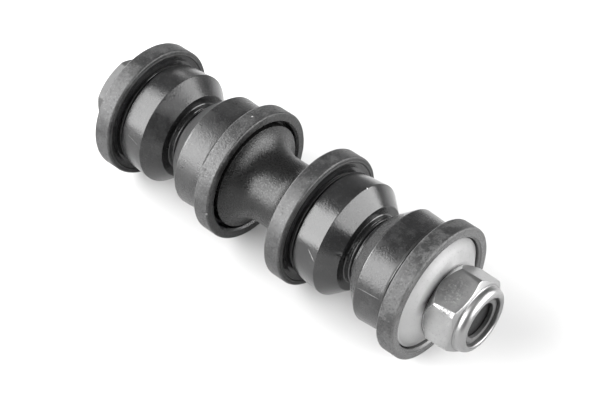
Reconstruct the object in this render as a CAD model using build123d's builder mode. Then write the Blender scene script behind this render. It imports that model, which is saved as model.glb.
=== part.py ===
from build123d import *
from math import cos, radians, tan
import os

os.makedirs("parts", exist_ok=True)

# Bolt-type drop link of an anti-roll bar, millimetres. It lies along X with the bolt head
# at -X and the lock nut at +X. Two pairs of rubber bushes clamp one eye each, and the
# origin is on the bolt axis in the middle of the eye at the head end.
# Stations along the link are counted from the middle of the spacer. A half section is
# drawn with x along the link and y as the radius, and is turned about the bolt axis.

# Rubber bush, measured from the face of its flange towards its nose. All four are the same.
flange_r = 16.3
flange_w = 4.4
flange_round = 0.5
rim_wall = 2.5  # rubber round the recess in the face
recess_depth = 2.95
recess_lead = 0.5
relief_w = 1.7  # groove behind the flange
relief_depth = 1.1  # below the root of the body
ridge_w = 0.35  # fine mould ridge in the floor of that groove
ridge_h = 0.6
body_w = 8.1  # from the back of the flange to the edge of the cone
body_root_r = 13.5
body_tip_r = 14.0
cone_w = 3.85
nose_r = 10.6
spigot_w = 1.8  # half of the neck that fills the hole of an eye
spigot_r = 8.5
spigot_round = 0.5
edge_round = 0.2

# Spool-shaped spacer
inner_flanges_apart = 16.9
waist_r = 8.5
waist_w = 4.2  # straight middle, between the two flares
rim_round = 0.3

# M10 bolt
shank_r = 5.0
thread_undersize = 0.05  # on the radius, against the shank
thread_length = 26.0
end_chamfer = 0.8
end_depth = 2.1  # end of the bolt below the crest of the nut
head_flats = 17.0
head_corner_trim = 0.215  # off the sharp corners of the hexagon, on the radius
head_height = 6.4
head_top_drop = 0.4  # flat top inside the flats, on the radius
head_turn = 32.1  # degrees from +Y to a corner
chamfer_angle = 30.0  # of a hexagon's end chamfer

# Dished washers. The one under the nut is dished more deeply.
washer_t = 2.0
washer_edge_w = 0.5  # flat band outside the dish
dish_w = 4.0  # from that band in to the flat middle, on the radius
head_dish_drop = 1.85
nut_dish_drop = 2.65
washer_round = 0.35

# Lock nut with a rolled crown over a nylon ring
nut_flats = 17.0
nut_corner_trim = 0.115  # off the sharp corners of the hexagon, on the radius
nut_height = 10.0
nut_base_drop = 0.2  # flat base inside the flats, on the radius
nut_base_angle = 52.0  # of the chamfer at the base, steeper than the one at the top
nut_top_drop = 0.3  # flat ledge round the crown, inside the flats, on the radius
nut_turn = 19.6  # degrees from +Y to a corner
crown_height = 2.25
crown_drop = 0.65  # root of the crown inside the flats, on the radius
crown_taper = 0.05
crown_roll = 1.45  # radius of the rolled shoulder
crown_wall = 1.0
lip_w = 0.45  # slope from the crest down to the inner edge of the lip
lip_drop = 0.45
lip_t = 0.65
pocket_sink = 1.2  # floor of the ring's pocket below the root of the crown
ring_collar_w = 1.0
ring_collar_h = 0.2
ring_bite = 0.7  # hole of the ring inside the nut's thread, on the radius
ring_top_drop = 0.95  # top of the ring's collar below the crest

# Clearances, on the radius unless it says otherwise
bore_clearance = 0.05  # round the shank, for the pieces that turn on it
washer_clearance = 0.3  # in a bush's recess
spacer_clearance = 0.85  # in a bush's recess
nut_clearance = 0.05  # round the thread
ring_clearance = 0.03  # in the nut's pocket
cut_clearance = 0.3  # along the axis, between the end of the bolt and the ring it cuts

# Radii that follow
bore_r = shank_r + bore_clearance
recess_r = flange_r - rim_wall
relief_r = body_root_r - relief_depth
ridge_r = relief_r + ridge_h
rim_r = recess_r - spacer_clearance
washer_r = recess_r - washer_clearance
dish_edge_r = washer_r - washer_edge_w
washer_flat_r = dish_edge_r - dish_w
thread_r = shank_r - thread_undersize
nut_bore_r = thread_r + nut_clearance

# Stations that follow
bush_length = flange_w + body_w + cone_w + spigot_w
inner_face = inner_flanges_apart / 2
outer_face = inner_face + 2 * bush_length
eye_station = inner_face + bush_length
recess_floor = outer_face - recess_depth
head_seat = recess_floor + washer_t + head_dish_drop
nut_seat = recess_floor + washer_t + nut_dish_drop
bolt_end = nut_seat + nut_height - end_depth


def along(station, way):
    """Plane through the bolt axis, its own x running from the station to +X (1) or -X (-1)."""
    return Plane(origin=(eye_station + station, 0, 0), x_dir=(way, 0, 0), z_dir=(0, 0, way))


def across(station):
    """Plane square to the bolt axis at the station, its own x along +Y and its y along +Z."""
    return Plane(origin=(eye_station + station, 0, 0), x_dir=(0, 1, 0), z_dir=(1, 0, 0))


# Half section of a bush, its flange face at x = 0 and its nose towards +x
cone_edge = flange_w + body_w
nose = cone_edge + cone_w
ridge = flange_w + (relief_w - ridge_w) / 2
with BuildSketch() as bush_section:
    with BuildLine():
        Polyline(
            (recess_depth, bore_r),
            (recess_depth, recess_r),
            (0, recess_r),
            (0, flange_r),
            (flange_w, flange_r),
            (flange_w, relief_r),
            (ridge, relief_r),
            (ridge, ridge_r),
            (ridge + ridge_w, ridge_r),
            (ridge + ridge_w, relief_r),
            (flange_w + relief_w, relief_r),
            (flange_w + relief_w, body_root_r),
            (cone_edge, body_tip_r),
            (nose, nose_r),
            (nose, spigot_r),
            (bush_length, spigot_r),
            (bush_length, bore_r),
            close=True,
        )
    make_face()
    corners = bush_section.vertices()
    chamfer(corners.sort_by_distance((0, recess_r))[0], length=recess_lead)
    fillet(corners.filter_by_position(Axis.Y, flange_r - 0.01, flange_r + 0.01), radius=flange_round)
    fillet(corners.sort_by_distance((bush_length, spigot_r))[0], radius=spigot_round)
    for corner in ((flange_w + relief_w, body_root_r), (cone_edge, body_tip_r), (nose, nose_r)):
        fillet(bush_section.vertices().sort_by_distance(corner)[0], radius=edge_round)

with BuildPart() as bush_head_outer:
    with BuildSketch(along(-outer_face, 1)):
        add(bush_section.sketch)
    revolve(axis=Axis.X)
bush_head_outer.part.label = "bush_head_outer"
export_step(bush_head_outer.part, "parts/bush_head_outer.step")

with BuildPart() as bush_head_inner:
    with BuildSketch(along(-inner_face, -1)):
        add(bush_section.sketch)
    revolve(axis=Axis.X)
bush_head_inner.part.label = "bush_head_inner"
export_step(bush_head_inner.part, "parts/bush_head_inner.step")

with BuildPart() as bush_nut_inner:
    with BuildSketch(along(inner_face, 1)):
        add(bush_section.sketch)
    revolve(axis=Axis.X)
bush_nut_inner.part.label = "bush_nut_inner"
export_step(bush_nut_inner.part, "parts/bush_nut_inner.step")

with BuildPart() as bush_nut_outer:
    with BuildSketch(along(outer_face, -1)):
        add(bush_section.sketch)
    revolve(axis=Axis.X)
bush_nut_outer.part.label = "bush_nut_outer"
export_step(bush_nut_outer.part, "parts/bush_nut_outer.step")

# Spacer: a straight waist that flares through a tangent arc to a thin rim at each end.
# Its ends stand on the floors of the inner bushes' recesses.
spacer_end = inner_face + recess_depth
with BuildPart() as spacer:
    with BuildSketch(along(0, 1)) as spacer_section:
        with BuildLine():
            waist = Line((-waist_w / 2, waist_r), (waist_w / 2, waist_r))
            flare_plus = TangentArc(waist @ 1, (inner_face, rim_r), tangent=waist % 1)
            flare_minus = TangentArc(waist @ 0, (-inner_face, rim_r), tangent=(waist % 0) * -1)
            Polyline(
                flare_plus @ 1,
                (spacer_end, rim_r),
                (spacer_end, bore_r),
                (-spacer_end, bore_r),
                (-spacer_end, rim_r),
                flare_minus @ 1,
            )
        make_face()
        for end in (flare_plus @ 1, flare_minus @ 1):
            fillet(spacer_section.vertices().sort_by_distance(end)[0], radius=rim_round)
    revolve(axis=Axis.X)
spacer.part.label = "spacer"
export_step(spacer.part, "parts/spacer.step")


def washer_section(drop):
    """Half section of a washer, the recess floor at x = 0 and the head or nut towards +x.

    Its dome and its hollow are concentric arcs, so the dish keeps the sheet's thickness.
    """
    dome_r = (dish_w**2 + drop**2) / (2 * drop)
    hollow_r = dome_r - washer_t
    dome_centre = washer_t + drop - dome_r
    hollow_edge_r = washer_flat_r + (hollow_r**2 - dome_centre**2) ** 0.5
    with BuildSketch() as section:
        with BuildLine():
            top = Line((washer_t + drop, bore_r), (washer_t + drop, washer_flat_r))
            dome = TangentArc(top @ 1, (washer_t, dish_edge_r), tangent=top % 1)
            under = Line((drop, bore_r), (drop, washer_flat_r))
            hollow = TangentArc(under @ 1, (0, hollow_edge_r), tangent=under % 1)
            Polyline(dome @ 1, (washer_t, washer_r), (0, washer_r), hollow @ 1)
            Line(top @ 0, under @ 0)
        make_face()
        fillet(section.vertices().sort_by(Axis.Y)[-2:], radius=washer_round)
    return section.sketch


head_washer_section = washer_section(head_dish_drop)
with BuildPart() as head_washer:
    with BuildSketch(along(-recess_floor, -1)):
        add(head_washer_section)
    revolve(axis=Axis.X)
head_washer.part.label = "head_washer"
export_step(head_washer.part, "parts/head_washer.step")

nut_washer_section = washer_section(nut_dish_drop)
with BuildPart() as nut_washer:
    with BuildSketch(along(recess_floor, 1)):
        add(nut_washer_section)
    revolve(axis=Axis.X)
nut_washer.part.label = "nut_washer"
export_step(nut_washer.part, "parts/nut_washer.step")

# Bolt: turned outline of the head, trimmed to a hexagon, then the shank and the thread.
# The chamfer cone of the head makes the curved edges where it meets the six flats.
head_top = -head_seat - head_height
head_top_r = head_flats / 2 - head_top_drop
head_corner_r = head_flats / 2 / cos(radians(30)) - head_corner_trim
head_chamfer_w = (head_corner_r - head_top_r) * tan(radians(chamfer_angle))
with BuildPart() as bolt:
    with BuildSketch(along(0, 1)):
        with BuildLine():
            Polyline(
                (head_top, 0),
                (head_top, head_top_r),
                (head_top + head_chamfer_w, head_corner_r),
                (-head_seat, head_corner_r),
                (-head_seat, 0),
                close=True,
            )
        make_face()
    revolve(axis=Axis.X)
    with BuildSketch(across(head_top)):
        RegularPolygon(head_flats / 2, 6, major_radius=False, rotation=head_turn)
    extrude(amount=head_height, mode=Mode.INTERSECT)
    with BuildSketch(across(-head_seat)):
        Circle(shank_r)
    extrude(amount=head_seat + bolt_end - thread_length)
    with BuildSketch(across(bolt_end - thread_length)):
        Circle(thread_r)
    extrude(amount=thread_length)
    chamfer(bolt.faces().sort_by(Axis.X)[-1].edges(), length=end_chamfer)
bolt.part.label = "bolt"
export_step(bolt.part, "parts/bolt.step")

# Nut: its outline is turned, with chamfer cones at both ends of the hexagon, a ledge round
# the rolled crown and the pocket under the crown's lip, then it is trimmed to the hexagon.
nut_corner_r = nut_flats / 2 / cos(radians(30)) - nut_corner_trim
nut_base_r = nut_flats / 2 - nut_base_drop
base_chamfer_w = (nut_corner_r - nut_base_r) * tan(radians(nut_base_angle))
nut_top_r = nut_flats / 2 - nut_top_drop
top_chamfer_w = (nut_corner_r - nut_top_r) * tan(radians(chamfer_angle))
crown_r = nut_flats / 2 - crown_drop
hex_height = nut_height - crown_height
crown_top_r = crown_r - crown_taper
roll_start = nut_height - crown_roll
pocket_r = crown_r - crown_wall
pocket_floor = hex_height - pocket_sink
lip_r = crown_top_r - crown_roll - lip_w
lip_edge = nut_height - lip_drop
with BuildPart() as nut:
    with BuildSketch(along(nut_seat, 1)) as nut_section:
        with BuildLine():
            wall = Line((hex_height, crown_r), (roll_start, crown_top_r))
            roll = TangentArc(wall @ 1, (nut_height, crown_top_r - crown_roll), tangent=wall % 1)
            Polyline(
                roll @ 1,
                (lip_edge, lip_r),
                (lip_edge - lip_t, lip_r),
                (lip_edge - lip_t, pocket_r),
                (pocket_floor, pocket_r),
                (pocket_floor, nut_bore_r),
                (0, nut_bore_r),
                (0, nut_base_r),
                (base_chamfer_w, nut_corner_r),
                (hex_height - top_chamfer_w, nut_corner_r),
                (hex_height, nut_top_r),
                (hex_height, crown_r),
            )
        make_face()
    revolve(axis=Axis.X)
    with BuildSketch(across(nut_seat)):
        RegularPolygon(nut_flats / 2, 6, major_radius=False, rotation=nut_turn)
    extrude(amount=nut_height, mode=Mode.INTERSECT)
nut.part.label = "nut"
export_step(nut.part, "parts/nut.step")

# Nylon ring in the pocket. Its collar stands up inside the lip, and its hole is still
# narrow beyond the end of the bolt, whose chamfer has opened it up to there.
ring_hole_r = nut_bore_r - ring_bite
ring_collar_r = ring_hole_r + ring_collar_w
ring_top = nut_height - ring_top_drop
ring_shoulder = ring_top - ring_collar_h
cut_end = nut_height - end_depth + cut_clearance
with BuildPart() as nut_insert:
    with BuildSketch(along(nut_seat, 1)):
        with BuildLine():
            Polyline(
                (pocket_floor, nut_bore_r),
                (cut_end - end_chamfer, nut_bore_r),
                (cut_end, ring_hole_r),
                (ring_top, ring_hole_r),
                (ring_top, ring_collar_r),
                (ring_shoulder, ring_collar_r + ring_collar_h),
                (ring_shoulder, pocket_r - ring_clearance),
                (pocket_floor, pocket_r - ring_clearance),
                close=True,
            )
        make_face()
    revolve(axis=Axis.X)
nut_insert.part.label = "nut_insert"
export_step(nut_insert.part, "parts/nut_insert.step")
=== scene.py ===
import math

import bmesh
import bpy
from mathutils import Matrix, Vector, noise

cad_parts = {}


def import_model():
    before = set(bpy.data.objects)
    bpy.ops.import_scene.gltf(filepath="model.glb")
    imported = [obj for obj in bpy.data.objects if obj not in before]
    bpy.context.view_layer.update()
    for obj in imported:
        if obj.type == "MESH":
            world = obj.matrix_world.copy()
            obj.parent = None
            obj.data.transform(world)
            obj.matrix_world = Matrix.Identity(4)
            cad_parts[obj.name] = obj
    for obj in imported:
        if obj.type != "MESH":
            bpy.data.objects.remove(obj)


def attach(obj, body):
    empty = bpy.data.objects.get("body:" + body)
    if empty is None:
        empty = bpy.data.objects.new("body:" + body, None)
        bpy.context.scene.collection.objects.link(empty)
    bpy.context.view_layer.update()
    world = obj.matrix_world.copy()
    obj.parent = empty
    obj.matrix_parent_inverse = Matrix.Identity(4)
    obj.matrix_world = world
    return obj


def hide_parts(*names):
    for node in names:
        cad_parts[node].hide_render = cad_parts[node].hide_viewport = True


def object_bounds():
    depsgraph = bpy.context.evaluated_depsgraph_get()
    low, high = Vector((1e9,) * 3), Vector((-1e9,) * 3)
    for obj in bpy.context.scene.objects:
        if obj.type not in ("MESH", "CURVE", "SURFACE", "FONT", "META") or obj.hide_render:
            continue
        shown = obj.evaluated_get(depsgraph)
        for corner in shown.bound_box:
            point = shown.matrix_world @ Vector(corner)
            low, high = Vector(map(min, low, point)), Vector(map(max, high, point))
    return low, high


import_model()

cad_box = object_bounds()

# Shapes are drawn in millimetres: x along the bolt, r out from it, as in the CAD source.
MM = 0.001
# Each bush: where its flange's face is, and the way its nose points.
FACES = {
    "bush_head_outer": (-18.15, 1),
    "bush_head_inner": (18.15, -1),
    "bush_nut_inner": (35.05, 1),
    "bush_nut_outer": (71.35, -1),
}
BORE_R = 5.05
SPACER_MID = 26.6
HEAD_SEAT = -19.05
HEAD_HEIGHT = 6.4
NUT_SEAT = 73.05
BOLT_END = 80.95
SHANK_R = 5.0
CREST_R = 4.95
THREAD_LENGTH = 26
PITCH = 1.5
# The hexagons, with the angle in degrees of a corner of each.
ACROSS_FLATS = 17.0
HEAD_TURN = 32.1
NUT_TURN = 19.6
# The cone round the nut's base starts at this radius and opens by the slope.
NUT_BASE_R = 8.3
NUT_BASE_SLOPE = 1 / math.tan(math.radians(52))


# ---------------------------------------------------------------- outlines
def rounded(corners, closed=True):
    """Turns (x, r, radius) corners into a line of (x, r) points with arcs at the corners."""
    points = []
    last = len(corners) - 1
    for i, (x, r, radius) in enumerate(corners):
        here = Vector((x, r))
        if not radius or (not closed and i in (0, last)):
            points.append(here)
            continue
        back = Vector(corners[i - 1][:2]) - here
        ahead = Vector(corners[(i + 1) % len(corners)][:2]) - here
        turn = math.pi - back.angle(ahead)
        # An arc may take just under half of each side beside its corner.
        reach = min(radius * math.tan(turn / 2), 0.49 * back.length, 0.49 * ahead.length)
        radius = reach / math.tan(turn / 2)
        a, b = here + back.normalized() * reach, here + ahead.normalized() * reach
        inward = (back.normalized() + ahead.normalized()).normalized()
        centre = here + inward * math.hypot(reach, radius)
        steps = max(3, math.ceil(math.degrees(turn) / 14))
        for k in range(steps + 1):
            arm = (a - centre).normalized().slerp((b - centre).normalized(), k / steps)
            points.append(centre + arm * radius)
    return points


def arc(centre, radius, start, end, steps):
    """Points of an arc, angles in degrees from +x towards +r."""
    found = []
    for k in range(steps + 1):
        a = math.radians(start + (end - start) * k / steps)
        found.append(Vector((centre[0] + radius * math.cos(a), centre[1] + radius * math.sin(a))))
    return found


def refined(points, step, edge=0.05, closed=True):
    """Adds points to long runs, with one close to each end so that shading stays crisp."""
    found = []
    count = len(points)
    for i in range(count if closed else count - 1):
        a, b = points[i], points[(i + 1) % count]
        length = (b - a).length
        found.append(a)
        if length > 4 * edge:
            inner = max(1, math.ceil((length - 2 * edge) / step))
            for k in range(inner + 1):
                found.append(a.lerp(b, (edge + (length - 2 * edge) * k / inner) / length))
    if not closed:
        found.append(points[-1])
    return found


# ---------------------------------------------------------------- meshes
def finished(name, bm, body, slot, node):
    """Makes the object of a bmesh in millimetres, riding on its body in place of a CAD node."""
    bmesh.ops.scale(bm, vec=(MM, MM, MM), verts=bm.verts)
    bmesh.ops.recalc_face_normals(bm, faces=bm.faces)
    mesh = bpy.data.meshes.new(name)
    bm.to_mesh(mesh)
    bm.free()
    for polygon in mesh.polygons:
        polygon.use_smooth = True
    piece = bpy.data.objects.new(name, mesh)
    bpy.context.scene.collection.objects.link(piece)
    # A bush has a skin of its own, and every other piece takes its slot's.
    mesh.materials.append(SKINS.get(body) or SKINS[slot])
    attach(piece, body)
    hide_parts(node)


def turned(points, angles, shape=None, closed=True):
    """A bmesh turned about the x axis. shape(x, r, angle, row) may move a point along and out."""
    bm = bmesh.new()
    rows = []
    for i, p in enumerate(points):
        row = []
        for a in angles:
            x, r = shape(p.x, p.y, a, i) if shape else (p.x, p.y)
            row.append(bm.verts.new((x, r * math.cos(a), r * math.sin(a))))
        rows.append(row)
    for i in range(len(rows) if closed else len(rows) - 1):
        a, b = rows[i], rows[(i + 1) % len(rows)]
        for j in range(len(angles)):
            k = (j + 1) % len(angles)
            bm.faces.new((a[j], a[k], b[k], b[j]))
    if not closed:
        for row in (rows[0], rows[-1]):
            bm.faces.new(row)
    return bm


def even(count):
    """Angles of a full turn in equal steps."""
    return [2 * math.pi * k / count for k in range(count)]


def hexagon_angles(turn):
    """Angles of a full turn, close together at the six corners of a hexagon."""
    near, fine, coarse = 4.2, 14, 30
    found = []
    for corner in range(6):
        middle = turn + 60 * corner
        found += [k * abs(k) / fine**2 * near + middle for k in range(-fine, fine + 1)]
        found += [middle + near + k * (60 - 2 * near) / coarse for k in range(1, coarse)]
    return [math.radians(a) for a in found]


def softer_least(a, b, width):
    """The smaller of two radii, rounded where they meet."""
    h = min(1.0, max(0.0, 0.5 + 0.5 * (b - a) / width))
    return b + (a - b) * h - width * h * (1 - h)


def hexagon_radius(angle, turn, corner_round):
    """Radius of a hexagon with rounded corners, at an angle."""
    half = ACROSS_FLATS / 2
    off = (math.degrees(angle) - turn) % 60
    from_corner = math.radians(min(off, 60 - off))
    cosine = math.cos(math.radians(30))
    centre = (half - corner_round) / cosine
    limit = math.atan2(corner_round * 0.5, centre + corner_round * cosine)
    if from_corner < limit:
        across = centre * math.sin(from_corner)
        return centre * math.cos(from_corner) + math.sqrt(corner_round**2 - across**2)
    return half / math.cos(math.radians(30) - from_corner)


def thread_depth(x, angle, depth):
    """How far a right-hand thread is cut at a point, from 0 on its crest to depth at its root."""
    crest, flank = 0.14, 0.6
    u = (x / PITCH - angle / (2 * math.pi)) % 1.0
    w = min(1.0, max(0.0, (abs(2 * u - 1) - crest) / flank))
    return depth * w * w * (3 - 2 * w)


# ---------------------------------------------------------------- materials
def grey(value):
    return (value, value, value)


class Nodes:
    """Short calls for a material's node tree."""

    def __init__(self, name):
        self.material = bpy.data.materials.new(name)
        self.material.use_nodes = True
        self.tree = self.material.node_tree
        self.tree.nodes.clear()
        self.shader = self.add("ShaderNodeBsdfPrincipled")
        out = self.add("ShaderNodeOutputMaterial")
        self.put(self.shader.outputs[0], out.inputs["Surface"])
        self.place = self.add("ShaderNodeTexCoord").outputs["Object"]

    def add(self, kind, **settings):
        node = self.tree.nodes.new(kind)
        for key, value in settings.items():
            setattr(node, key, value)
        return node

    def put(self, value, socket):
        """Sets an input to a number or a colour, or links an output to it."""
        if isinstance(value, (int, float)):
            socket.default_value = value
        elif isinstance(value, tuple):
            socket.default_value = (*value, 1)
        else:
            self.tree.links.new(value, socket)

    def noise(self, scale, detail=3.0, roughness=0.55, stretch=None, distortion=0.0, offset=None):
        """Noise with scale in features per metre. stretch scales each axis of its coordinates."""
        node = self.add("ShaderNodeTexNoise")
        node.inputs["Scale"].default_value = scale
        node.inputs["Detail"].default_value = detail
        node.inputs["Roughness"].default_value = roughness
        node.inputs["Distortion"].default_value = distortion
        source = self.place
        if stretch or offset:
            mapping = self.add("ShaderNodeMapping")
            mapping.inputs["Scale"].default_value = stretch or (1, 1, 1)
            mapping.inputs["Location"].default_value = offset or (0, 0, 0)
            self.put(self.place, mapping.inputs["Vector"])
            source = mapping.outputs[0]
        self.put(source, node.inputs["Vector"])
        return node.outputs["Fac"]

    def ramp(self, source, *stops):
        """Maps a value from 0 to 1 through (position, number or colour) stops."""
        node = self.add("ShaderNodeValToRGB")
        ramp = node.color_ramp
        while len(ramp.elements) < len(stops):
            ramp.elements.new(1.0)
        for element, (position, value) in zip(ramp.elements, stops):
            element.position = position
            element.color = (*(value if isinstance(value, tuple) else grey(value)), 1)
        self.put(source, node.inputs["Fac"])
        return node.outputs["Color"]

    def over(self, length, *stops, reach=20):
        """Maps a length in metres through (millimetres, value) stops, from 0 to reach."""
        scaled = self.times(length, 1 / (reach * MM))
        return self.ramp(scaled, *((at / reach, value) for at, value in stops))

    def math(self, operation, a, b=0.0):
        node = self.add("ShaderNodeMath", operation=operation)
        self.put(a, node.inputs[0])
        self.put(b, node.inputs[1])
        return node.outputs[0]

    def times(self, a, b):
        return self.math("MULTIPLY", a, b)

    def plus(self, a, b):
        return self.math("ADD", a, b)

    def mix(self, factor, a, b):
        """Mix of two colours."""
        node = self.add("ShaderNodeMix", data_type="RGBA")
        self.put(factor, node.inputs["Factor"])
        # The two inputs for colours come after those for numbers and vectors.
        self.put(a, node.inputs[6])
        self.put(b, node.inputs[7])
        return node.outputs[2]

    def along_and_radius(self):
        """How far a point lies along the bolt axis, and its distance from it, in metres."""
        x, y, z = self.add("ShaderNodeSeparateXYZ").outputs
        self.put(self.place, x.node.inputs[0])
        squares = [self.math("POWER", side, 2.0) for side in (y, z)]
        return x, self.math("SQRT", self.plus(*squares))

    def facing(self, angle, *stops):
        """Ramps the cosine of the angle round the bolt between a point and the angle given."""
        a = math.radians(angle)
        pull = self.add("ShaderNodeVectorMath", operation="DOT_PRODUCT")
        self.put(self.place, pull.inputs[0])
        pull.inputs[1].default_value = (0, math.cos(a), math.sin(a))
        radius = self.along_and_radius()[1]
        return self.ramp(self.math("DIVIDE", pull.outputs["Value"], radius), *stops)

    def mark(self, x, angle, r, long, width, tilt):
        """1 inside an oval mark on a turned surface, in millimetres, and 0 outside it.

        tilt turns its long side from the bolt axis towards the way round, in degrees.
        """
        deep = 0.8
        a, t = math.radians(angle), math.radians(tilt)
        out = Vector((0, math.cos(a), math.sin(a)))
        side = Vector((math.cos(t), -math.sin(a) * math.sin(t), math.cos(a) * math.sin(t)))
        turn = Matrix((side, out.cross(side), out)).transposed()
        mapping = self.add("ShaderNodeMapping", vector_type="TEXTURE")
        mapping.inputs["Location"].default_value = (x * MM, r * MM * out.y, r * MM * out.z)
        mapping.inputs["Rotation"].default_value = turn.to_euler()
        mapping.inputs["Scale"].default_value = (long * MM / 2, width * MM / 2, deep * MM)
        self.put(self.place, mapping.inputs["Vector"])
        length = self.add("ShaderNodeVectorMath", operation="LENGTH")
        self.put(mapping.outputs[0], length.inputs[0])
        return self.ramp(length.outputs["Value"], (0.6, 1.0), (1.0, 0.0))

    def bump(self, *layers):
        """Stacks (height, distance in millimetres, strength) layers into the shader's normal."""
        last = None
        for height, distance, strength in layers:
            node = self.add("ShaderNodeBump")
            node.inputs["Distance"].default_value = distance * MM
            node.inputs["Strength"].default_value = strength
            self.put(height, node.inputs["Height"])
            if last:
                self.put(last, node.inputs["Normal"])
            last = node.outputs[0]
        self.put(last, self.shader.inputs["Normal"])

    def skin(self, colour, roughness):
        """The material, once it has its colour and its roughness."""
        self.put(colour, self.shader.inputs["Base Color"])
        self.put(roughness, self.shader.inputs["Roughness"])
        return self.material


def rubber(name, rim_rough, body_rough, specular, speckle, dust, cone_dust_and_light, face_tone, marks):
    """Moulded rubber of one bush. marks are spots of local wear and painted highlights, in the
    order of the loop below.

    dust greys its rim and body, the cone's value greys its cone (partly dust, partly painted
    light), and speckle sets its grain.
    """
    face, way = FACES[name]
    n = Nodes("rubber_" + name.removeprefix("bush_"))
    n.shader.inputs["Specular IOR Level"].default_value = specular
    along, radius = n.along_and_radius()
    depth = n.times(n.plus(along, -face * MM), way)
    powder = n.noise(2300, detail=4, roughness=0.7)
    pores = n.noise(2100, detail=4, roughness=0.75, offset=(0.5, 0.2, 0.1))
    blotches = n.noise(330, detail=5, roughness=0.7, offset=(0.3, 0.1, 0.7))

    # Each of these is 1 on its part of the bush.
    high = n.over(radius, (14.8, 0.0), (15.8, 1.0))
    behind_rim = n.over(depth, (4.34, 0.0), (4.44, 1.0), (6.04, 1.0), (6.2, 0.0))
    groove = n.times(behind_rim, n.over(radius, (15.72, 1.0), (15.96, 0.0)))
    cone = n.over(depth, (12.4, 0.0), (13.0, 1.0), (16.0, 1.0), (16.4, 0.0))
    rim_face = n.over(depth, (0.24, 1.0), (0.5, 0.0))
    recess = n.times(
        n.over(depth, (2.8, 1.0), (3.0, 0.0)),
        n.over(radius, (14.0, 1.0), (14.3, 0.0)),
    )

    base = n.ramp(
        n.noise(170, detail=4),
        (0.3, (0.008, 0.008, 0.0082)),
        (0.7, (0.014, 0.014, 0.0144)),
    )
    # Painted shade: the groove behind the rim is darkened nearly to black.
    base = n.mix(groove, base, grey(0.004))
    base = n.mix(rim_face, base, grey(face_tone))
    # Painted light: the recess wall is lightened to twice the face's tone.
    base = n.mix(recess, base, grey(2 * face_tone))

    dusty = n.times(n.ramp(blotches, (0.46, 0.05), (0.6, 1.0)), n.plus(n.times(high, 0.75), 0.25))
    # Dust on the rim and body; the greying of the cone is partly dust and partly painted light.
    dust_and_cone_light = n.math("MAXIMUM", n.times(dusty, dust), n.times(cone, cone_dust_and_light))
    dust_and_cone_light = n.times(dust_and_cone_light, n.ramp(powder, (0.38, 0.65), (0.62, 1.1)))
    specks = n.ramp(pores, (0.56, 0.0), (0.68, 1.0))
    specks = n.times(specks, n.plus(n.times(high, 0.5), speckle * 0.4))
    pits = n.ramp(pores, (0.36, 1.0), (0.45, 0.0))
    pits = n.times(pits, n.plus(n.times(high, 0.6), speckle * 0.5))
    colour = n.mix(dust_and_cone_light, base, grey(0.14))
    colour = n.mix(specks, colour, grey(0.09))
    colour = n.mix(pits, colour, grey(0.004))

    rough = n.plus(n.times(high, rim_rough - body_rough), body_rough - 0.02)
    uneven = n.ramp(blotches, (0.35, 0.0), (0.65, 1.0))
    rough = n.plus(rough, n.times(uneven, n.plus(n.times(high, 0.1), 0.05)))
    rough = n.plus(rough, n.times(n.math("MAXIMUM", dust_and_cone_light, pits), 0.3))
    rough = n.plus(rough, n.times(groove, 0.4))

    broken = n.ramp(powder, (0.36, 0.25), (0.52, 1.0))
    # Some marks are wear; the light lines on edges and on the neck are painted highlights.
    for at, angle, r, long, width, tilt, tone in marks:
        spot = n.times(n.mark(face + way * at, angle, r, long, width, tilt), broken)
        colour = n.mix(spot, colour, grey(tone))
        rough = n.plus(rough, n.times(spot, 0.2))

    n.bump(
        (n.noise(420, detail=2), 0.05, 0.3),
        (n.noise(130, detail=1), 0.35, 0.12),
        (pores, 0.06, 0.3 + speckle * 0.3),
        (n.noise(3000, detail=1), 0.03 + 0.04 * speckle, speckle),
    )
    return n.skin(colour, rough)


def spacer_plastic():
    """Smooth black plastic with fine specks."""
    n = Nodes("spacer_plastic")
    n.shader.inputs["Specular IOR Level"].default_value = 0.38
    patches = n.noise(140, detail=3)
    specks = n.ramp(n.noise(2500, detail=3, roughness=0.7), (0.54, 0.0), (0.68, 0.3))
    colour = n.mix(specks, n.ramp(patches, (0.3, 0.003), (0.7, 0.006)), grey(0.04))
    matt = n.ramp(n.noise(2500, detail=2, offset=(0.1, 0.6, 0.3)), (0.42, 0.0), (0.6, 0.16))
    n.bump((n.noise(1400, detail=2), 0.03, 0.5), (n.noise(3000, detail=1), 0.07, 0.9))
    return n.skin(colour, n.plus(n.ramp(patches, (0.3, 0.24), (0.7, 0.28)), matt))


def zinc(name, bright, rough, scratches, grime, metal=1.0):
    """Zinc plate that still lacks its skin: gives the nodes, the colour and the roughness."""
    n = Nodes(name)
    n.shader.inputs["Metallic"].default_value = metal
    cloud = n.noise(260, detail=5, roughness=0.6)
    fine = n.noise(1900, detail=4, roughness=0.65)
    streak = n.noise(900, detail=3, stretch=(0.12, 1.6, 1.6), distortion=0.4)
    spots = n.ramp(fine, (0.56, 0.0), (0.66, 1.0))
    tone = n.ramp(cloud, (0.32, bright * 0.82), (0.68, bright))
    colour = n.mix(n.times(spots, grime), tone, grey(bright * 0.35))
    roughness = n.plus(n.ramp(cloud, (0.3, rough), (0.7, rough + 0.08)), n.times(spots, 0.12))
    n.bump((streak, 0.01, scratches), (fine, 0.012, scratches))
    return n, colour, roughness


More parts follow.
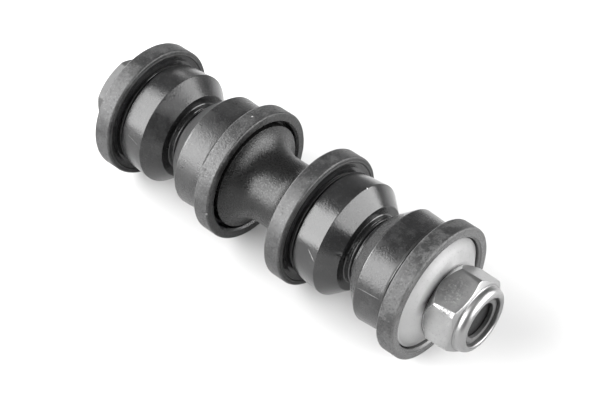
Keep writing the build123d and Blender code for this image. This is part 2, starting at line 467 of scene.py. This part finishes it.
def washer_zinc():
    """Dull plate with painted light and shade: lighter on one side, darker at the top of its edge,
    and a painted contact shadow by the nut's foot.
    """
    n, colour, roughness = zinc("washer_zinc", 0.265, 0.54, 0.2, 0.1, metal=0.6)
    radius = n.along_and_radius()[1]
    # Painted shade at the top of the edge, and a painted contact shadow by the nut's foot.
    edge = n.times(n.facing(92, (0.6, 0.0), (0.95, 1.0)), n.over(radius, (11.6, 0.0), (12.8, 1.0)))
    painted_shade = n.times(n.facing(124, (0.72, 0.0), (0.93, 1.0)), n.over(radius, (9.0, 0.95), (10.6, 0.0)))
    # Painted light: the side facing 174 degrees is lightened.
    colour = n.mix(n.facing(174, (0.6, 0.0), (0.97, 1.0)), colour, grey(0.34))
    colour = n.mix(edge, colour, grey(0.17))
    colour = n.mix(painted_shade, colour, grey(0.015))
    return n.skin(colour, roughness)


def bolt_zinc():
    """A dull head, and the end inside the nut darkened with painted shade."""
    n, colour, roughness = zinc("bolt_zinc", 0.07, 0.5, 0.25, 0.3, metal=0.45)
    # Painted shade: the end of the bolt inside the nut is darkened.
    painted_shade = n.over(n.along_and_radius()[0], (72, 0.0), (74, 1.0), reach=100)
    return n.skin(n.mix(painted_shade, colour, grey(0.012)), roughness)


def nut_zinc():
    """Bright plate: one flat mottled, a corner worn, the crown darkened away from one side as
    painted shade, the base's cone brightened as a painted reflection.
    """
    n, colour, roughness = zinc("nut_zinc", 0.36, 0.3, 0.3, 0.25)
    patch = n.mark(NUT_SEAT + 3.6, 112, 8.5, 6.5, 8.0, 0)
    wear = n.noise(1700, detail=5, roughness=0.75, offset=(0.2, 0.4, 0.0))
    dull = n.noise(700, detail=3, distortion=0.8)
    hairs = n.noise(1500, detail=2, stretch=(0.35, 1.0, 1.0), distortion=0.6)
    for mottle, low, high, share, tone in (
        (wear, 0.5, 0.64, 0.55, 0.62),
        (dull, 0.45, 0.6, 0.35, 0.2),
        (hairs, 0.62, 0.66, 0.5, 0.75),
    ):
        spots = n.times(n.ramp(mottle, (low, 0.0), (high, 1.0)), patch)
        colour = n.mix(n.times(spots, share), colour, grey(tone))

    along, radius = n.along_and_radius()
    height = n.plus(along, -NUT_SEAT * MM)
    # Painted shade: the crown is darkened except on the side facing 72 degrees.
    crown = n.over(height, (6.4, 0.0), (7.4, 1.0))
    crown = n.times(crown, n.facing(72, (0.58, 0.9), (0.78, 0.0)))
    colour = n.mix(crown, colour, grey(0.24))

    # How far a point lies outside the cone of the base, plus half a millimetre: less on a flat.
    off_cone = n.plus(radius, n.times(height, -NUT_BASE_SLOPE))
    off_cone = n.plus(off_cone, (0.5 - NUT_BASE_R) * MM)
    # Painted reflection: the base's cone is brightened, as if it mirrored the bright washer.
    colour = n.mix(n.over(off_cone, (0.38, 0.0), (0.46, 1.0), reach=1), colour, grey(0.9))

    ragged = n.ramp(n.noise(2600, detail=3, roughness=0.7), (0.45, 0.9), (0.56, 0.1))
    worn = n.times(n.mark(NUT_SEAT + 5.2, 139.6, 9.55, 4.4, 1.5, 0), ragged)
    return n.skin(n.mix(worn, colour, grey(0.1)), n.plus(roughness, n.times(worn, 0.2)))


def nylon():
    """The ring in the nut: grey, slightly cloudy nylon."""
    n = Nodes("ring_nylon")
    n.bump((n.noise(2200, detail=3), 0.02, 0.4))
    return n.skin(n.ramp(n.noise(500, detail=4), (0.3, 0.045), (0.7, 0.065)), 0.42)


# Marks: distance from the flange face, angle, radius, width along the bolt, width round it,
# tilt and tone.
SKINS = {
    "bush_head_outer": rubber(
        "bush_head_outer",
        rim_rough=0.37,
        body_rough=0.2,
        specular=0.42,
        speckle=0.4,
        dust=0.24,
        cone_dust_and_light=0.0,
        face_tone=0.02,
        marks=[
            # Painted highlight on the ridge in the groove behind the rim.
            (5.2, 97, 13.0, 0.25, 4.0, 0, 0.3),
            # Painted highlights: the light arcs on the neck.
            (16.5, 78, 8.6, 0.28, 6.5, 0, 0.3),
            (17.6, 86, 8.45, 0.3, 3.6, 0, 0.32),
            (9.6, 163, 13.8, 4.5, 0.16, 12, 0.08),
        ],
    ),
    "bush_head_inner": rubber(
        "bush_head_inner",
        rim_rough=0.38,
        body_rough=0.28,
        specular=0.5,
        speckle=1.0,
        dust=0.22,
        cone_dust_and_light=0.2,
        face_tone=0.006,
        marks=[
            (2.4, 84.9, 16.3, 0.5, 0.45, 0, 0.45),
            # Painted highlights: light lines along the body's edge at the cone and at the rim.
            (12.2, 131, 13.9, 0.3, 4.5, 0, 0.13),
            (5.9, 150, 13.6, 0.35, 5.0, 3, 0.2),
            (6.5, 122, 13.6, 0.5, 4.5, -4, 0.006),
            (7.2, 104, 13.6, 1.2, 3.5, 10, 0.008),
        ],
    ),
    "bush_nut_inner": rubber(
        "bush_nut_inner",
        rim_rough=0.36,
        body_rough=0.12,
        specular=0.5,
        speckle=0.35,
        dust=0.16,
        cone_dust_and_light=0.0,
        face_tone=0.02,
        marks=[
            (3.1, 104.8, 16.3, 0.9, 0.7, 20, 0.008),
            (3.7, 99.1, 16.3, 0.7, 1.1, 0, 0.008),
            (2.4, 169.1, 16.3, 0.6, 0.5, 0, 0.006),
            (11.1, 160.5, 13.85, 3.3, 0.25, 38, 0.2),
            (12.5, 75.8, 13.95, 0.4, 0.35, 0, 0.5),
            # Painted highlights: the light arcs on the neck.
            (16.5, 74, 8.6, 0.28, 6.5, 0, 0.3),
            (17.4, 84, 8.45, 0.25, 4.0, 0, 0.25),
        ],
    ),
    "bush_nut_outer": rubber(
        "bush_nut_outer",
        rim_rough=0.42,
        body_rough=0.21,
        specular=0.46,
        speckle=0.6,
        dust=0.34,
        cone_dust_and_light=0.25,
        face_tone=0.05,
        marks=[
            # Painted highlight along the body's edge at the cone.
            (12.5, 134, 14.0, 0.22, 7.0, 0, 0.2),
            (9.3, 161, 13.7, 6.6, 0.2, -3, 0.12),
            # Painted highlight along the body's edge at the rim.
            (5.7, 128, 13.6, 0.25, 9.0, 1, 0.2),
            (1.9, 112, 16.3, 1.2, 2.4, 15, 0.007),
            (2.6, 98, 16.3, 2.2, 2.8, 40, 0.007),
        ],
    ),
    "spacer_plastic": spacer_plastic(),
    "bolt_zinc": bolt_zinc(),
    "washer_zinc": washer_zinc(),
    "nut_zinc": nut_zinc(),
    "ring_nylon": nylon(),
}


# ---------------------------------------------------------------- bushes
# Corners of the outline: distance from the flange face, radius, and how far it is rounded.
FLANGE = [
    (2.95, BORE_R, 0),
    (2.95, 13.8, 0.1),
    (0.5, 13.8, 0.12),
    (0.0, 14.3, 0.12),
    (0.0, 16.3, 0.5),
    (4.4, 16.3, 0.5),
]
BODY = [
    (12.5, 14.0, 0.2),
    (16.35, 10.6, 0.2),
    (16.35, 8.5, 0.35),
    (18.13, 8.5, 0.5),
    (18.13, BORE_R, 0),
]
# Behind the flange: an open groove with fine ridges, or one nearly filled by its own flash.
OPEN_GROOVE = [
    (4.4, 15.35, 0.04),
    (4.53, 15.2, 0.04),
    (4.53, 15.05, 0.04),
    (4.4, 14.9, 0.04),
    (4.25, 13.7, 0.4),
    (4.4, 12.4, 0.1),
    (5.075, 12.4, 0.05),
    (5.075, 13.0, 0.12),
    (5.425, 13.0, 0.12),
    (5.425, 12.4, 0.05),
    (6.1, 12.4, 0.1),
    (6.1, 13.5, 0.12),
]
CLOSE_GROOVE = [
    (4.4, 12.4, 0.1),
    (5.0, 12.4, 0.05),
    (5.45, 13.1, 0.1),
    (5.6, 13.6, 0.15),
]
# Nicks and nubs of flash on the edges: distance from the flange face, angle in degrees, how
# far each reaches in millimetres along and round the bush, and how far it goes in.
NICKS = {
    "bush_head_outer": [(0.6, 180.5, 0.5, 0.45, 0.45)],
    "bush_head_inner": [(0.5, 179.5, 0.5, 0.4, 0.4), (0.1, 38.0, 0.35, 0.5, 0.2)],
    "bush_nut_inner": [(16.2, 149.5, 0.45, 0.5, 0.3), (4.3, 84.0, 0.3, 0.7, 0.12)],
    "bush_nut_outer": [(0.35, 155.9, 0.4, 0.4, -0.28), (4.2, 118.0, 0.3, 0.6, 0.15)],
}


def seats(t, r):
    """Whether the rubber seats there: in its bore, in its recess, or on its neighbour's nose."""
    return r < 8.3 or (1.6 < t < 3.2 and r < 13.9) or t > 17.6


def bush(name):
    face, way = FACES[name]
    seed = Vector((face * 0.37, way * 3.1, 5.0))
    groove = OPEN_GROOVE if way > 0 else CLOSE_GROOVE
    points = refined(rounded(FLANGE + groove + BODY), 0.6)

    # Closer angles at each nick, a fifth of its width apart at a radius of 15.
    angles = set(even(224))
    for _, angle, _, width, _ in NICKS[name]:
        step = math.degrees(width / 5 / 15)
        angles |= {math.radians(angle + k * step) for k in range(-8, 9)}

    def shape(t, r, a, row):
        if seats(t, r):
            return face + way * t, r
        # Moulded rubber is never quite true: long waves of 0.05 mm under short ones of 0.01 mm.
        p = Vector((t, r * math.cos(a), r * math.sin(a)))
        wave = noise.noise(p * 0.16 + seed) * 0.05 + noise.noise(p * 0.6 + seed) * 0.012
        cut = 0.02 + abs(wave)
        for at, angle, long, width, depth in NICKS[name]:
            off = math.hypot((t - at) / long, (a - math.radians(angle)) * r / width)
            if off < 1.4:
                cut += depth * math.exp(-2.5 * off * off)
        return face + way * t, r - max(0.0, cut)

    bm = turned(points, sorted(angles), shape)
    finished(name + "_rubber", bm, name, "bush_rubber", name)


for node in FACES:
    bush(node)


# ---------------------------------------------------------------- spacer
def spacer():
    """A straight waist that flares to a rim at each end, mirrored about its middle."""
    waist_half, waist_r, flare_r = 2.1, 8.5, 6.7551
    flare_end = 8.45
    rim = [(8.2, 12.7, 0), (flare_end, 12.95, 0.25), (11.4, 12.95, 0.1), (11.4, BORE_R, 0)]
    swing = math.degrees(math.asin((flare_end - waist_half) / flare_r))
    # The arc stops 1.5 degrees short, where the rim's own rounding takes over.
    flare = arc((waist_half, waist_r + flare_r), flare_r, -90, swing - 91.5, 26)
    half = [Vector((waist_half, waist_r))] + flare[1:] + rounded(rim, closed=False)[1:]
    spool = [Vector((SPACER_MID - p.x, p.y)) for p in reversed(half)]
    spool += [Vector((SPACER_MID + p.x, p.y)) for p in half]
    bm = turned(refined(spool, 0.5), even(192))
    finished("spacer_spool", bm, "spacer", "spacer_plastic", "spacer")


spacer()


# ---------------------------------------------------------------- washers
def washer(name, floor, way, drop):
    """A dished sheet: a nearly conical slope from its rim up to its flat middle."""
    thick = 2.0
    top, rim = Vector((thick + drop, 9.0)), Vector((thick, 13.0))
    slope = (rim - top).normalized()
    out = Vector((slope.y, -slope.x))
    swell = (top + rim) / 2 + out * 0.2
    under = top - out * thick
    inner = under + slope * (under.x - drop) / -slope.x
    outer = under + slope * under.x / -slope.x
    corners = [
        (top.x, BORE_R, 0),
        (*top, 1.2),
        (*swell, 9.0),
        (*rim, 0.5),
        (thick, 13.5, 0.3),
        (0.0, 13.5, 0.35),
        (*outer, 0.3),
        (*inner, 0.8),
        (drop, BORE_R, 0),
    ]
    points = [Vector((floor + way * p.x, p.y)) for p in refined(rounded(corners), 0.5)]
    finished(name + "_pressing", turned(points, even(192)), name, "washer_zinc", name)


washer("head_washer", -15.2, -1, 1.85)
washer("nut_washer", 68.4, 1, 2.65)


# ---------------------------------------------------------------- bolt
def bolt_head():
    """The head, its rows going from its top to its seat. The hexagon trims them."""
    slope = math.tan(math.radians(60))
    edge = 9.6
    # Distance from the top, radius, and how far the edge is rounded off there.
    top = [(0, r, 0) for r in (0.5, 3, 6, 7.7, 8.0)]
    cone = [(k * 0.045, 8.1 + k * 0.045 * slope, 0) for k in range(20)]
    sides = [(0.9 + k * 0.32, edge, 0) for k in range(18)]
    under = [(6.33, edge, 0.0), (6.37, edge, 0.02)]
    seat = [(HEAD_HEIGHT, edge, 0.07), (HEAD_HEIGHT, edge, 0.3), (HEAD_HEIGHT, edge, 0.9)]
    seat += [(HEAD_HEIGHT, 6.5, 0), (HEAD_HEIGHT, 4.9, 0)]
    rows = top + cone + sides + under + seat

    def shape(s, r, a, row):
        if r > 8.05:
            r = softer_least(r, hexagon_radius(a, HEAD_TURN, 0.4), 0.14) - rows[row][2]
        return HEAD_SEAT - HEAD_HEIGHT + s, r

    points = [Vector(row[:2]) for row in rows]
    bm = turned(points, hexagon_angles(HEAD_TURN), shape, closed=False)
    finished("bolt_head", bm, "bolt", "bolt_zinc", "bolt")


def bolt_shank():
    """The plain shank and the thread, which runs out into it and is chamfered at its end."""
    run_out, chamfer, cut = 1.8, 0.8, 0.82
    start = BOLT_END - THREAD_LENGTH
    plain_steps, rows = 60, 260
    line = [Vector((HEAD_SEAT + 0.01, 4.9)), Vector((HEAD_SEAT + 0.01, SHANK_R))]
    for k in range(plain_steps + 1):
        x = HEAD_SEAT + 0.05 + (start - HEAD_SEAT - 0.1) * k / plain_steps
        line.append(Vector((x, SHANK_R)))
    line += [Vector((start + THREAD_LENGTH * k / rows, CREST_R)) for k in range(1, rows)]
    line.append(Vector((BOLT_END - 0.02, CREST_R)))
    line += [Vector((BOLT_END, r)) for r in (4.13, 3.4, 0.5)]

    def shape(x, r, a, row):
        if r < CREST_R or x <= start:
            return x, r
        depth = thread_depth(x, a, cut) * min(1.0, max(0.0, (x - start) / run_out))
        return x, min(CREST_R - depth, CREST_R - max(0.0, x - (BOLT_END - chamfer)))

    bm = turned(line, even(144), shape, closed=False)
    finished("bolt_shank", bm, "bolt", "bolt_zinc", "bolt")


bolt_head()
bolt_shank()


# ---------------------------------------------------------------- lock nut
def nut():
    """The nut, from its seat over the hexagon and the crown's lip into the pocket and thread."""
    hexagon_top, pocket_floor = 7.75, 6.55
    slope = math.tan(math.radians(60))
    outer = [Vector((0.0, r)) for r in (BORE_R + 0.3, 8.0, 8.2, 8.27)]
    base = [(k * 0.06, NUT_BASE_R + k * 0.06 * NUT_BASE_SLOPE) for k in range(1, 31)]
    sides = [(1.8 + k * 0.4, 9.7) for k in range(1, 12)]
    chamfer = [(hexagon_top - k * 0.045, 8.2 + k * 0.045 * slope) for k in range(30, 0, -1)]
    outer += [Vector(p) for p in base + sides + chamfer]
    # The narrow ledge and the fine crease at the foot of the crown.
    root = [
        (hexagon_top, 8.2, 0.06),
        (hexagon_top, 7.95, 0.05),
        (7.93, 7.87, 0.05),
        (8.0, 7.77, 0.04),
        (8.09, 7.83, 0.05),
        (8.55, 7.8, 0),
    ]
    outer += refined(rounded(root, closed=False), 0.2, edge=0.03, closed=False)
    outer += arc((8.55, 6.35), 1.45, 88, 2, 24)
    outer += arc((9.55, 6.35), 0.45, 0, -90, 10)[:-1]
    lip = rounded([(9.55, 5.9, 0), (8.9, 5.9, 0.1), (8.9, 6.85, 0)], closed=False)
    outer += refined(lip, 0.2, edge=0.03, closed=False)
    outer += [Vector((pocket_floor, 6.85)), Vector((pocket_floor, 5.6))]
    outer += [Vector((pocket_floor - k * 0.1, SHANK_R)) for k in range(66)]

    def shape(s, r, a, row):
        if s <= hexagon_top and r > 8.1:
            # The corners are worn more towards the crown.
            worn = min(r, 9.74 - 0.045 * max(0.0, s - 1.0))
            r = softer_least(worn, hexagon_radius(a, NUT_TURN, 0.3), 0.12)
        elif r == SHANK_R:
            # The thread fades in at both ends, and its mouth opens at the seat.
            ends = min(1.0, s / 0.6, (pocket_floor - s) / 0.3)
            r += thread_depth(s, a, 0.45) * ends + 0.35 * max(0.0, 1 - s / 0.35)
        return NUT_SEAT + s, r

    bm = turned(outer, hexagon_angles(NUT_TURN), shape)
    finished("nut_body", bm, "nut", "nut_zinc", "nut")


def insert():
    """The nylon ring, its hole left uneven by the bolt."""
    corners = [
        (6.55, 5.0, 0),
        (7.4, 5.0, 0),
        (8.2, 4.3, 0.1),
        (9.05, 4.3, 0.12),
        (9.05, 5.3, 0.12),
        (8.85, 5.5, 0.06),
        (8.85, 6.82, 0.1),
        (6.55, 6.82, 0.1),
    ]
    points = refined(rounded(corners), 0.25, edge=0.03)

    def shape(s, r, a, row):
        x = NUT_SEAT + s
        if r < 4.6:
            r += 0.05 * noise.noise(Vector((x, math.cos(a) * 3, math.sin(a) * 3)))
        return x, r

    finished("nut_ring", turned(points, even(160), shape), "nut", "ring_nylon", "nut_insert")


nut()
insert()


# ---------------------------------------------------------------- stage, lights and camera
def floor():
    """A pale floor that gets a little darker away from the part."""
    bm = bmesh.new()
    bmesh.ops.create_grid(bm, x_segments=1, y_segments=1, size=12)
    mesh = bpy.data.meshes.new("floor")
    bm.to_mesh(mesh)
    bm.free()
    piece = bpy.data.objects.new("floor", mesh)
    piece.location = (0, 0, cad_box[0].z)
    bpy.context.scene.collection.objects.link(piece)
    n = Nodes("floor")
    away = n.add("ShaderNodeVectorMath", operation="DISTANCE")
    n.put(n.place, away.inputs[0])
    away.inputs[1].default_value = (0.02, -0.02, 0)
    n.shader.inputs["Specular IOR Level"].default_value = 0.1
    mesh.materials.append(n.skin(n.ramp(away.outputs["Value"], (0.13, 0.56), (0.24, 0.3)), 0.9))


def world():
    """A soft studio: its grey follows the height of the direction."""
    made = bpy.data.worlds.new("studio")
    bpy.context.scene.world = made
    made.use_nodes = True
    tree = made.node_tree
    tree.nodes.clear()
    out = tree.nodes.new("ShaderNodeOutputWorld")
    background = tree.nodes.new("ShaderNodeBackground")
    ramp = tree.nodes.new("ShaderNodeValToRGB")
    split = tree.nodes.new("ShaderNodeSeparateXYZ")
    place = tree.nodes.new("ShaderNodeTexCoord")
    tree.links.new(place.outputs["Generated"], split.inputs[0])
    tree.links.new(split.outputs["Z"], ramp.inputs["Fac"])
    tree.links.new(ramp.outputs["Color"], background.inputs["Color"])
    tree.links.new(background.outputs[0], out.inputs["Surface"])
    stops = ((0.0, 0.6), (0.12, 0.5), (0.35, 0.24), (0.7, 0.26), (0.88, 0.42))
    elements = ramp.color_ramp.elements
    while len(elements) < len(stops):
        elements.new(1.0)
    for element, (position, value) in zip(elements, stops):
        element.position = position
        element.color = (*grey(value), 1)


def softbox(name, azimuth, elevation, distance, width, height, radiance):
    """An area light that faces the part. Azimuth 0 is along -Y and 90 along +X, in degrees."""
    a, e = math.radians(azimuth), math.radians(elevation)
    towards = Vector((math.sin(a) * math.cos(e), -math.cos(a) * math.cos(e), math.sin(e)))
    data = bpy.data.lights.new(name, "AREA")
    data.shape = "RECTANGLE"
    data.size, data.size_y = width, height
    data.energy = radiance * math.pi * width * height
    light = bpy.data.objects.new(name, data)
    light.location = Vector((SPACER_MID * MM, 0, 0)) + towards * distance
    light.rotation_euler = (-towards).to_track_quat("-Z", "Y").to_euler()
    bpy.context.scene.collection.objects.link(light)


def camera():
    """The camera, with its place, axes and lens as fitted to the photograph."""
    right = Vector((0.74448, 0.66764, 0.0)).normalized()
    back = Vector((0.46505, -0.51858, 0.71750)).normalized()
    axes = Matrix((right, back.cross(right), back)).transposed().to_4x4()
    data = bpy.data.cameras.new("camera")
    data.lens = 100.63
    data.sensor_width = 36.0
    data.clip_start = 0.01
    data.clip_end = 100.0
    made = bpy.data.objects.new("camera", data)
    made.matrix_world = Matrix.Translation((0.205234, -0.193996, 0.269779)) @ axes
    bpy.context.scene.collection.objects.link(made)
    bpy.context.scene.camera = made


floor()
world()
softbox("key", -46, 27.5, 0.55, 0.85, 0.58, 10.6)
softbox("fill", 117, 24, 0.6, 0.94, 0.45, 8.2)
softbox("side", -114, 8, 0.6, 0.5, 0.2, 4.0)
camera()
bpy.context.scene.view_settings.view_transform = "Standard"
